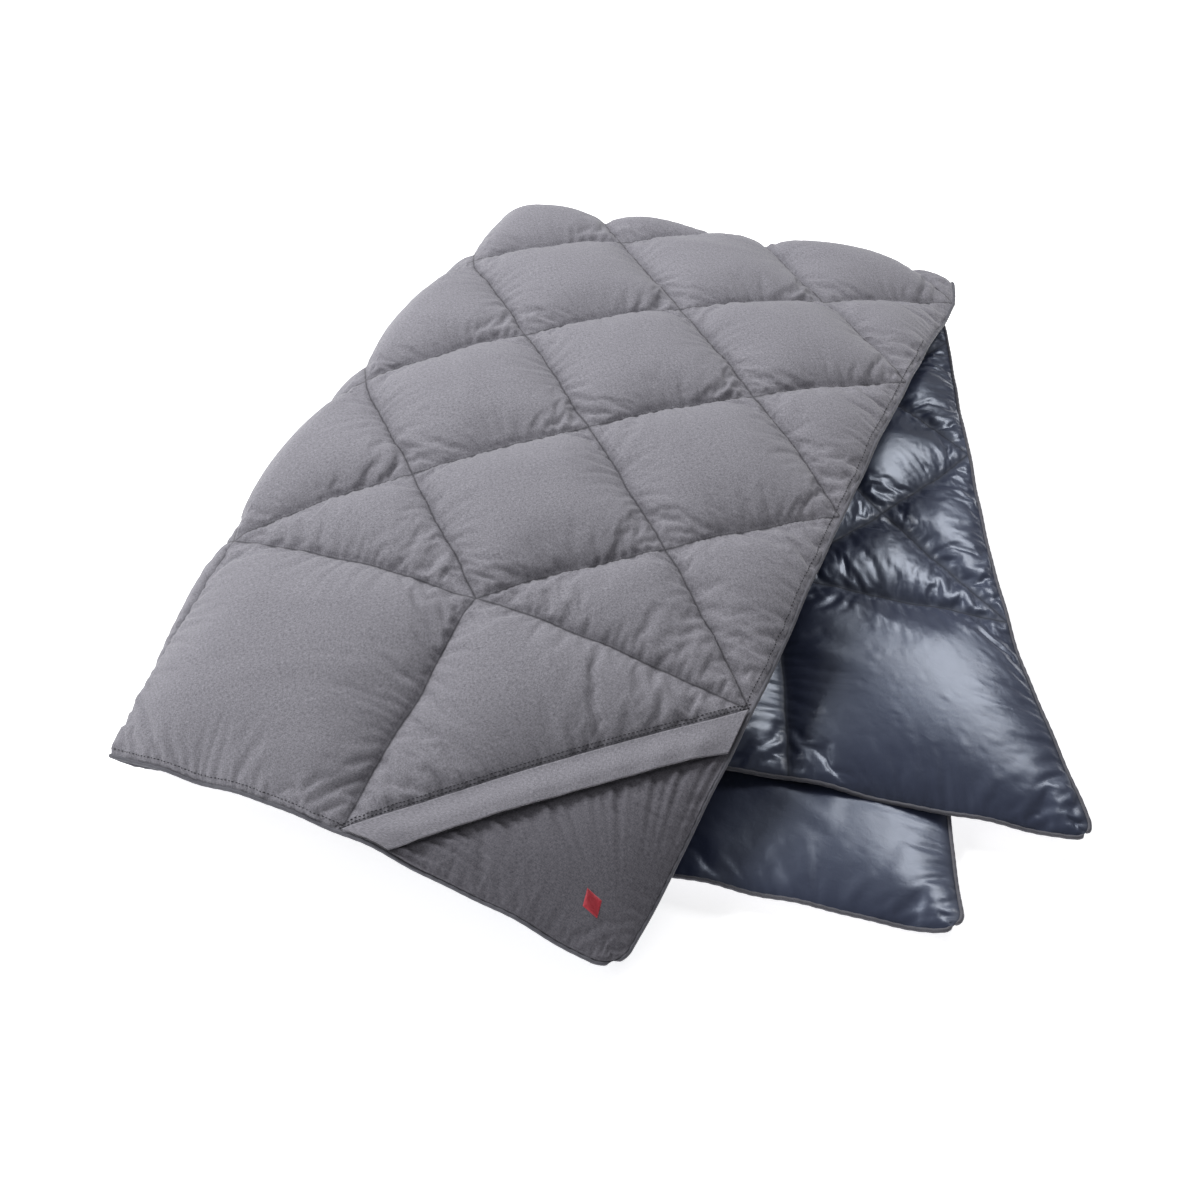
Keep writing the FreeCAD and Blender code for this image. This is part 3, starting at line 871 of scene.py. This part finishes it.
# The pocket is cut from the shell's cloth; these colours are the shell's at about half, painted
# shade for the pocket's front-facing slope.
POCKET_PAINTED_SHADE_FINISH = ClothFinish("pocket cloth in painted shade", (0.078, 0.075, 0.090), (0.170, 0.165, 0.190),
                            1.0, 0.78, 0.25, 0.25, bump=0.35, crumple=0.10)
LINING_FINISH = ClothFinish("slate lining", (0.032, 0.038, 0.068), (0.042, 0.049, 0.084),
                            0.3, 0.36, 0.95, 0.05, coat=0.5, coat_roughness=0.26,
                            tint=(0.78, 0.86, 1.0),
                            bump=0.08, crumple=0.12, fleck_size=2200.0)
PIPING_FINISH = ClothFinish("corded edging", (0.095, 0.095, 0.115), (0.16, 0.16, 0.18),
                            0.5, 0.6, 0.35, 0.2, bump=0.4, crumple=0.1, fleck_size=2200.0)
THREAD_FINISH = ClothFinish("sewing thread", (0.035, 0.035, 0.045), (0.07, 0.07, 0.08),
                            0.5, 0.5, 0.4, 0.2, bump=0.2, crumple=0.1, fleck_size=2600.0)
MARK_FINISH = ClothFinish("red satin stitch", (0.42, 0.022, 0.04), (0.62, 0.05, 0.07),
                          0.6, 0.42, 0.5, 0.35, bump=0.2, crumple=0.1, fleck_size=2600.0)


# ---------------------------------------------------------------- pieces


class Piece:
    """A piece of the object.

    build() makes its mesh in place and returns the object; dress(piece, material) gives it its
    material, the CAD nodes that it stands for and, except for the pocket flap, the body that
    carries it.
    """


def dressed(piece: bpy.types.Object, material: bpy.types.Material, slot_name: str,
            *nodes: str) -> None:
    """Material, body and CAD nodes of a piece that rides the quilt.

    Args:
        piece: the piece.
        material: what it is made of.
        slot_name: not used.
        nodes: CAD nodes that it replaces, if any.
    """
    piece.data.materials.append(material)
    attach(piece, "quilt")
    if nodes:
        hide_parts(*nodes)
    LOG.info("%s: %d faces", piece.name, len(piece.data.polygons))


@dataclass
class ClothPanel(Piece):
    """One panel of shell or lining between two folds.

    Args:
        name: piece name.
        u_from: right-hand limit in pitches.
        u_to: left-hand limit.
        v_from: limit nearest the pocket end.
        v_to: far limit.
        step: size of one cell, in metres.
        puffs: the cloth's blown-up shape.
        stands_for: CAD nodes that it replaces.
        slot: the record's material slot.
    """

    name: str
    u_from: float
    u_to: float
    v_from: float
    v_to: float
    step: float
    puffs: PuffField
    stands_for: tuple
    slot: str

    def build(self) -> bpy.types.Object:
        """The panel's mesh, in place."""
        nu = math.ceil((self.u_to - self.u_from) * PITCH / self.step)
        nv = math.ceil((self.v_to - self.v_from) * PITCH / self.step)
        piece = grid_piece(self.name, nu, nv)
        i, j = grid_steps(piece.data, nu, nv)
        u = self.u_from + (self.u_to - self.u_from) * i / nu
        v = self.v_from + (self.v_to - self.v_from) * j / nv
        points, way = cloth_points(u, v, self.puffs)
        shape_piece(piece, points, way)
        lay_map(piece.data, u * PITCH, v * PITCH)
        return piece

    def dress(self, piece: bpy.types.Object, material: bpy.types.Material) -> None:
        """Material, body and the nodes that the panel stands for."""
        dressed(piece, material, self.slot, *self.stands_for)


@dataclass
class Piping(Piece):
    """Corded edging along one side of the quilt.

    Args:
        name: piece and CAD node name.
        start: (u, v) where it starts.
        end: (u, v) where it ends.
        inwards: how far in the way out of the hem is measured from, in pitches.
        wave: height and length of the small waves between stitches, in metres.
    """

    name: str
    start: tuple
    end: tuple
    radius: float = 0.0019
    step: float = 0.003
    around: int = 10
    inwards: float = 0.05
    wave: tuple = (0.0003, 0.011)

    def build(self) -> bpy.types.Object:
        """The cord's mesh, in place."""
        span = abs(self.end[0] - self.start[0]) + abs(self.end[1] - self.start[1])
        count = math.ceil(span * PITCH / self.step)
        piece = grid_piece(self.name, self.around, count)
        i, j = grid_steps(piece.data, self.around, count)
        t = np.arange(count + 1) / count
        u = self.start[0] + (self.end[0] - self.start[0]) * t
        v = self.start[1] + (self.end[1] - self.start[1]) * t
        spot = DRAPE.at(u, v)
        lengthwise = abs(self.end[1] - self.start[1]) > 0
        inner_u = np.clip(u, self.inwards, ACROSS - self.inwards) if lengthwise else u
        inner_v = v if lengthwise else np.clip(v, self.inwards, ALONG - self.inwards)
        away = spot - DRAPE.at(inner_u, inner_v)
        away /= np.linalg.norm(away, axis=1, keepdims=True)
        rise = DRAPE.shell_way(u, v)
        wave = self.wave[0] * np.sin(t * span * PITCH * 2 * math.pi / self.wave[1])
        spot = spot + away * (self.radius * 0.7) + rise * wave[:, None]
        spot[:, 2] = np.maximum(spot[:, 2], self.radius)
        angle = 2 * math.pi * i / self.around
        ring = np.cos(angle)[:, None] * away[j] + np.sin(angle)[:, None] * rise[j]
        tip = np.minimum(1, np.sqrt(np.minimum(j, count - j) / 2 + 0.02))
        points = spot[j] + ring * (self.radius * tip)[:, None]
        shape_piece(piece, points, ring)
        lay_map(piece.data, angle / (2 * math.pi) * 0.012, j * self.step)
        welded(piece, capped=True)
        return piece

    def dress(self, piece: bpy.types.Object, material: bpy.types.Material) -> None:
        """Material, body and node of the cord."""
        dressed(piece, material, "piping_cord", self.name)


@dataclass
class CornerPocket(Piece):
    """Flat cloth of the corner pocket, gathered under the flap's free edge.

    Args:
        puffs: the shell's blown-up shape, whose corner triangle it repeats.
        reach: side of the pocket, in pitches.
        clear: least height over the quilt's middle, in metres.
        relief: share of the shell's relief that it follows.
        tuck: height of the gathers under the flap, in metres.
        sag: extra fullness, in metres.
    """

    puffs: PuffField
    reach: float = 0.826
    steps: int = 150
    clear: float = 0.0016
    relief: float = 0.42
    tuck: float = 0.0012
    sag: float = 0.0015

    def height(self, u: Array, v: Array) -> tuple[Array, Array]:
        """Lift over the shell and the in-plane slip of the pocket's cloth.

        Returns:
            Heights in metres and in-plane offsets in pitches.
        """
        corner = self.puffs.at(u / self.reach, v / self.reach)
        away = np.clip((self.reach - u - v) / self.reach, 0, 1)
        along = (v - u) / np.maximum(u + v, 0.05)
        rng = np.random.default_rng(21)
        tucks = sum(rng.uniform(0.6, 1.0) * np.sin(along * k + rng.uniform(0, ANY_PHASE)
                                                   + away * rng.uniform(-2, 2))
                    for k in (21.0, 33.0, 47.0, 62.0, 81.0))
        fade = np.exp(-away / 0.16) * swell(away, 0.02)
        full = smooth(np.minimum(u, v) / 0.2) * smooth(away / 0.3)
        lift = (self.clear + corner[..., 2] * self.relief + self.tuck * tucks * fade
                + self.sag * full)
        return lift, corner[..., :2] * 0.4

    def build(self) -> bpy.types.Object:
        """The pocket's mesh, in place."""
        piece = grid_piece("pocket_cloth_panel", self.steps, self.steps)
        i, j = grid_steps(piece.data, self.steps, self.steps)
        total = self.reach * j / self.steps
        u, v = total * i / self.steps, total * (1 - i / self.steps)
        lift, slip = self.height(u, v)
        points, way = cloth_points(np.clip(u + slip[..., 0], 0, 1),
                                   np.clip(v + slip[..., 1], 0, 1), self.puffs, share=0)
        base, _ = cloth_points(u, v, self.puffs)
        under = ((base - points) * way).sum(-1)
        points = points + way * np.maximum(lift, under + 0.0007)[..., None]
        shape_piece(piece, points, way)
        lay_map(piece.data, u * PITCH, v * PITCH)
        welded(piece)
        return piece

    def dress(self, piece: bpy.types.Object, material: bpy.types.Material) -> None:
        """Material, body and node of the pocket's cloth."""
        dressed(piece, material, "pocket_cloth", "pocket_panel")


@dataclass
class PocketFlap(Piece):
    """Two-ply band sewn along the pocket's diagonal, free along its lower edge.

    Args:
        puffs: the shell's blown-up shape.
        width: across the band, in metres.
        thick: of its two plies, in metres.
        seam_lift: height of its sewn edge over the quilt's middle, in metres.
        rise: further height of its free edge, in metres.
        roll: height of its waves, in metres.
    """

    puffs: PuffField
    width: float = 0.032
    thick: float = 0.0012
    seam_lift: float = 0.0030
    rise: float = 0.0070
    roll: float = 0.0004
    long: int = 300
    cells: int = 24

    def place(self, a: Array, b: Array) -> tuple[Array, Array]:
        """Points of the band's upper face.

        Args:
            a: share along the band, from the pocket end to the right-hand edge.
            b: share across it, from the seam to the free edge.

        Returns:
            Points and outward directions.
        """
        total = 1 - b * self.width * math.sqrt(2) / PITCH
        inset = 0.004
        run = inset + (1 - 2 * inset) * a
        u, v = total * (1 - run), total * run
        rng = np.random.default_rng(4)
        roll = sum(rng.uniform(0.3, 1.0) * np.sin(a * k + rng.uniform(0, ANY_PHASE) + 1.5 * b)
                   for k in (9.0, 17.0, 29.0, 55.0))
        base, way = cloth_points(u, v, self.puffs, share=0.0)
        hold = 0.25 + 0.75 * smooth(np.minimum(a, 1 - a) / 0.12)
        lift = (self.seam_lift + self.rise * smooth(b * 1.3) * hold
                + self.roll * roll * (0.3 + b) * hold)
        return base + way * lift[..., None], way

    def build(self) -> bpy.types.Object:
        """The band's mesh, in place, closed by its own thickness."""
        piece = grid_piece("pocket_flap_band", self.long, self.cells)
        i, j = grid_steps(piece.data, self.long, self.cells)
        points, way = self.place(i / self.long, j / self.cells)
        shape_piece(piece, points, way)
        lay_map(piece.data, i / self.long * PITCH * math.sqrt(2), j / self.cells * self.width)
        work = bmesh.new()
        work.from_mesh(piece.data)
        bmesh.ops.solidify(work, geom=work.faces, thickness=self.thick)
        bmesh.ops.recalc_face_normals(work, faces=work.faces)
        work.to_mesh(piece.data)
        work.free()
        piece.data.shade_smooth()
        return piece

    def dress(self, piece: bpy.types.Object, material: bpy.types.Material) -> None:
        """Material and node of the flap, with its mesh baked into place."""
        piece.data.materials.append(material)
        hem, _ = self.place(np.array([0.5]), np.array([0.02]))
        free, _ = self.place(np.array([0.5]), np.array([0.3]))
        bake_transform(piece)
        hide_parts("pocket_flap")
        LOG.info("flap: %d faces", len(piece.data.polygons))


@dataclass
class Stitching(Piece):
    """A run of thread stitches over the cloth.

    Args:
        name: piece name.
        lines: (u, v, u, v) runs in pitches.
        puffs: the cloth they are sewn on.
        lift: height over the cloth, in metres.
        wide: half the width of the thread, in metres.
    """

    name: str
    lines: tuple
    puffs: PuffField
    lift: float = 0.0002
    pitch: float = 0.0036
    length: float = 0.0026
    wide: float = 0.0006

    def build(self) -> bpy.types.Object:
        """One mesh of all the stitches."""
        work = bmesh.new()
        flat = work.loops.layers.uv.new("cloth")
        for u0, v0, u1, v1 in self.lines:
            span = math.hypot(u1 - u0, v1 - v0) * PITCH
            count = max(2, round(span / self.pitch))
            t = (np.arange(count) + 0.5) / count
            half = self.length / 2 / span
            ends = []
            for shift in (-half, half):
                spot, way = cloth_points(u0 + (u1 - u0) * (t + shift),
                                         v0 + (v1 - v0) * (t + shift), self.puffs, self.lift)
                ends.append(spot)
            for k in range(count):
                a, b, up = Vector(ends[0][k]), Vector(ends[1][k]), Vector(way[k])
                run = (b - a).normalized()
                side = run.cross(up).normalized()
                turn = Matrix((run, side, side.cross(run))).transposed().to_4x4()
                scale = Matrix.Diagonal(((b - a).length / 2, self.wide, self.wide * 0.7, 1))
                bmesh.ops.create_icosphere(work, subdivisions=1, radius=1.0,
                                           matrix=Matrix.Translation((a + b) / 2) @ turn @ scale)
        for face in work.faces:
            face.smooth = True
            for loop in face.loops:
                loop[flat].uv = (loop.vert.co.x, loop.vert.co.y)
        mesh = bpy.data.meshes.new(self.name)
        work.to_mesh(mesh)
        work.free()
        piece = bpy.data.objects.new(self.name, mesh)
        bpy.context.scene.collection.objects.link(piece)
        return piece

    def dress(self, piece: bpy.types.Object, material: bpy.types.Material) -> None:
        """Material and body of the stitches."""
        dressed(piece, material, "piping_cord")


@dataclass
class Mark(Piece):
    """Plain satin-stitched diamond near the pocket's corner.

    Args:
        pocket: the pocket that it is sewn on.
        half: half its length, in pitches.
        narrow: its width over its length.
    """

    pocket: CornerPocket
    u: float = 0.16
    v: float = 0.15
    half: float = 0.050
    narrow: float = 0.62
    rows: int = 44
    across: int = 30

    def build(self) -> bpy.types.Object:
        """The mark's mesh, in place: raised ridges of thread, side by side."""
        piece = grid_piece("satin_mark", self.rows * 3, self.across)
        i, j = grid_steps(piece.data, self.rows * 3, self.across)
        x, y = i / (self.rows * 3) * 2 - 1, j / self.across * 2 - 1
        along = x * self.half
        across = y * self.half * self.narrow * (1 - np.abs(x))
        u = self.u + (along + across) / math.sqrt(2)
        v = self.v + (along - across) / math.sqrt(2)
        lift, slip = self.pocket.height(u, v)
        base, way = cloth_points(u, v, self.pocket.puffs, share=0)
        ridge = 0.00016 * np.cos(i / 3 * 2 * math.pi)
        crown = 0.0008 * np.sqrt(np.clip(1 - y * y, 0, 1))
        points = base + way * (lift + 0.0002 + crown + ridge * (1 - y * y))[..., None]
        shape_piece(piece, points, way)
        lay_map(piece.data, across * PITCH, along * PITCH)
        welded(piece)
        return piece

    def dress(self, piece: bpy.types.Object, material: bpy.types.Material) -> None:
        """Material, body and node of the mark."""
        dressed(piece, material, "mark_thread", "embroidered_mark")


def light(name: str, place: tuple, aim: tuple, size: float, power: float) -> None:
    """Square studio softbox.

    Args:
        name: light name.
        place: where it hangs.
        aim: point it faces.
        size: side in metres.
        power: watts.
    """
    data = bpy.data.lights.new(name, "AREA")
    data.shape = "SQUARE"
    data.size = size
    data.energy = power
    lamp = bpy.data.objects.new(name, data)
    lamp.location = place
    lamp.rotation_euler = (Vector(aim) - Vector(place)).to_track_quat("-Z", "Y").to_euler()
    bpy.context.scene.collection.objects.link(lamp)


@dataclass(frozen=True)
class Studio:
    """Pale floor, soft lights and the camera."""

    floor_size: float = 14.0

    def build(self) -> None:
        """Floor, world, lights and camera."""
        floor = grid_piece("floor", 8, 8)
        floor.data.transform(Matrix.Scale(self.floor_size, 4))
        mat = bpy.data.materials.new("pale floor")
        mat.use_nodes = True
        skin = mat.node_tree.nodes["Principled BSDF"]
        skin.inputs["Base Color"].default_value = (0.86, 0.86, 0.87, 1)
        skin.inputs["Roughness"].default_value = 0.9
        skin.inputs["Emission Color"].default_value = (1, 1, 1, 1)
        skin.inputs["Emission Strength"].default_value = 0.75
        floor.data.materials.append(mat)
        world = bpy.data.worlds.new("studio")
        bpy.context.scene.world = world
        world.use_nodes = True
        sky = world.node_tree.nodes["Background"]
        sky.inputs["Color"].default_value = (1, 1, 1, 1)
        seen = node(world.node_tree, "ShaderNodeLightPath")
        strength = maths(world.node_tree, "MULTIPLY_ADD", seen.outputs["Is Camera Ray"],
                         1.0 - AMBIENT, AMBIENT)
        world.node_tree.links.new(strength, sky.inputs["Strength"])
        light("overhead", (-1.05, 1.05, 1.9), (0, 0, 0), 1.1, 50)
        light("back softbox", (1.2, 1.15, 1.8), (0.2, 0, 0.05), 0.8, 17)
        light("left fill", (-2.2, -0.8, 1.3), (0, 0, 0.05), 1.4, 22)
        data = bpy.data.cameras.new("camera")
        data.lens = LENS
        data.clip_start = 0.05
        eye = bpy.data.objects.new("camera", data)
        angle = math.radians(ELEVATION)
        back = Vector((0, -math.cos(angle), math.sin(angle)))
        eye.location = TABLE_AT + back * DISTANCE
        eye.rotation_euler = (-back).to_track_quat("-Z", "Y").to_euler()
        bpy.context.scene.collection.objects.link(eye)
        bpy.context.scene.camera = eye
        bpy.context.scene.view_settings.view_transform = "Standard"


# panels between the folds: u from, u to, v from, v to, shell cell, lining cell (metres)
PANELS = {
    "top": (0, 2, 0, 3.25, .0023, .005),
    "side_fold": (2, 3.25, 0, 3.25, .003, .006),
    "back_fold": (0, 2.25, 3.25, 4.75, .003, .006),
    "back_under": (2.25, 5, 3.25, 4.75, .005, .008),
    "second": (0, 3, 4.75, 8, .006, .0027),
    "hidden": (3, 5, 4.75, 8, .008, .008),
    "floor": (3.25, 5, 0, 3.25, .006, .0035),
}


def main() -> None:
    """Builds the quilt and the studio in order."""
    weave = weave_group()
    seams = seam_group()
    shell_cloth = SHELL_FINISH.make(weave, seams)
    lining_cloth = LINING_FINISH.make(weave, seams)
    cord_cloth = PIPING_FINISH.make(weave)
    shell = PuffField(SewnCloth(wide=2.5, long=3.5, pocket=True, slack=0.062, bend=0.07,
                                seed=5, full=0.0235), Side.SHELL, crease=0.0016)
    lining = PuffField(SewnCloth(wide=1.75, long=2.75, pocket=False, slack=0.065, bend=0.04,
                                 seed=9, full=0.0215), Side.LINING, crease=0.0042)
    fills = [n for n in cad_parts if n.startswith("fill_")]
    for label, (u0, u1, v0, v1, fine, lining_fine) in PANELS.items():
        nodes = ("shell_" + label,) + (tuple(fills) if label == "top" else ())
        for part, step, puffs, stands, slot_name, cloth in (
                ("shell_", fine, shell, nodes, "shell_cloth", shell_cloth),
                ("lining_", lining_fine, lining, ("lining_" + label,), "lining_cloth",
                 lining_cloth)):
            panel = ClothPanel(part + label + "_cloth", u0, u1, v0, v1, step, puffs, stands,
                               slot_name)
            panel.dress(panel.build(), cloth)
    for cord in (Piping("piping_pocket_end", (0, 0), (ACROSS, 0)),
                 Piping("piping_far_end", (0, ALONG), (ACROSS, ALONG)),
                 Piping("piping_right", (0, 0), (0, ALONG)),
                 Piping("piping_left", (ACROSS, 0), (ACROSS, ALONG))):
        cord.dress(cord.build(), cord_cloth)
    pocket = CornerPocket(shell)
    pocket.dress(pocket.build(), POCKET_PAINTED_SHADE_FINISH.make(weave))
    flap = PocketFlap(shell)
    flap.dress(flap.build(), SHELL_FINISH.make(weave))
    mark = Mark(pocket)
    mark.dress(mark.build(), MARK_FINISH.make(weave))
    thread = THREAD_FINISH.make(weave)
    hem, near, far, start = 0.021, 1.012, 1.028, 0.004
    for run in (Stitching("hem_stitches", ((hem, hem, hem, 3.4), (1, hem, 3.2, hem),
                                           (hem, hem, 1, hem)), shell),
                Stitching("pocket_seam_stitches", ((near, start, start, near),
                                                   (far, start, start, far)),
                          shell, lift=0.0004)):
        run.dress(run.build(), thread)
    Studio().build()


if __name__ == "__main__":
    main()
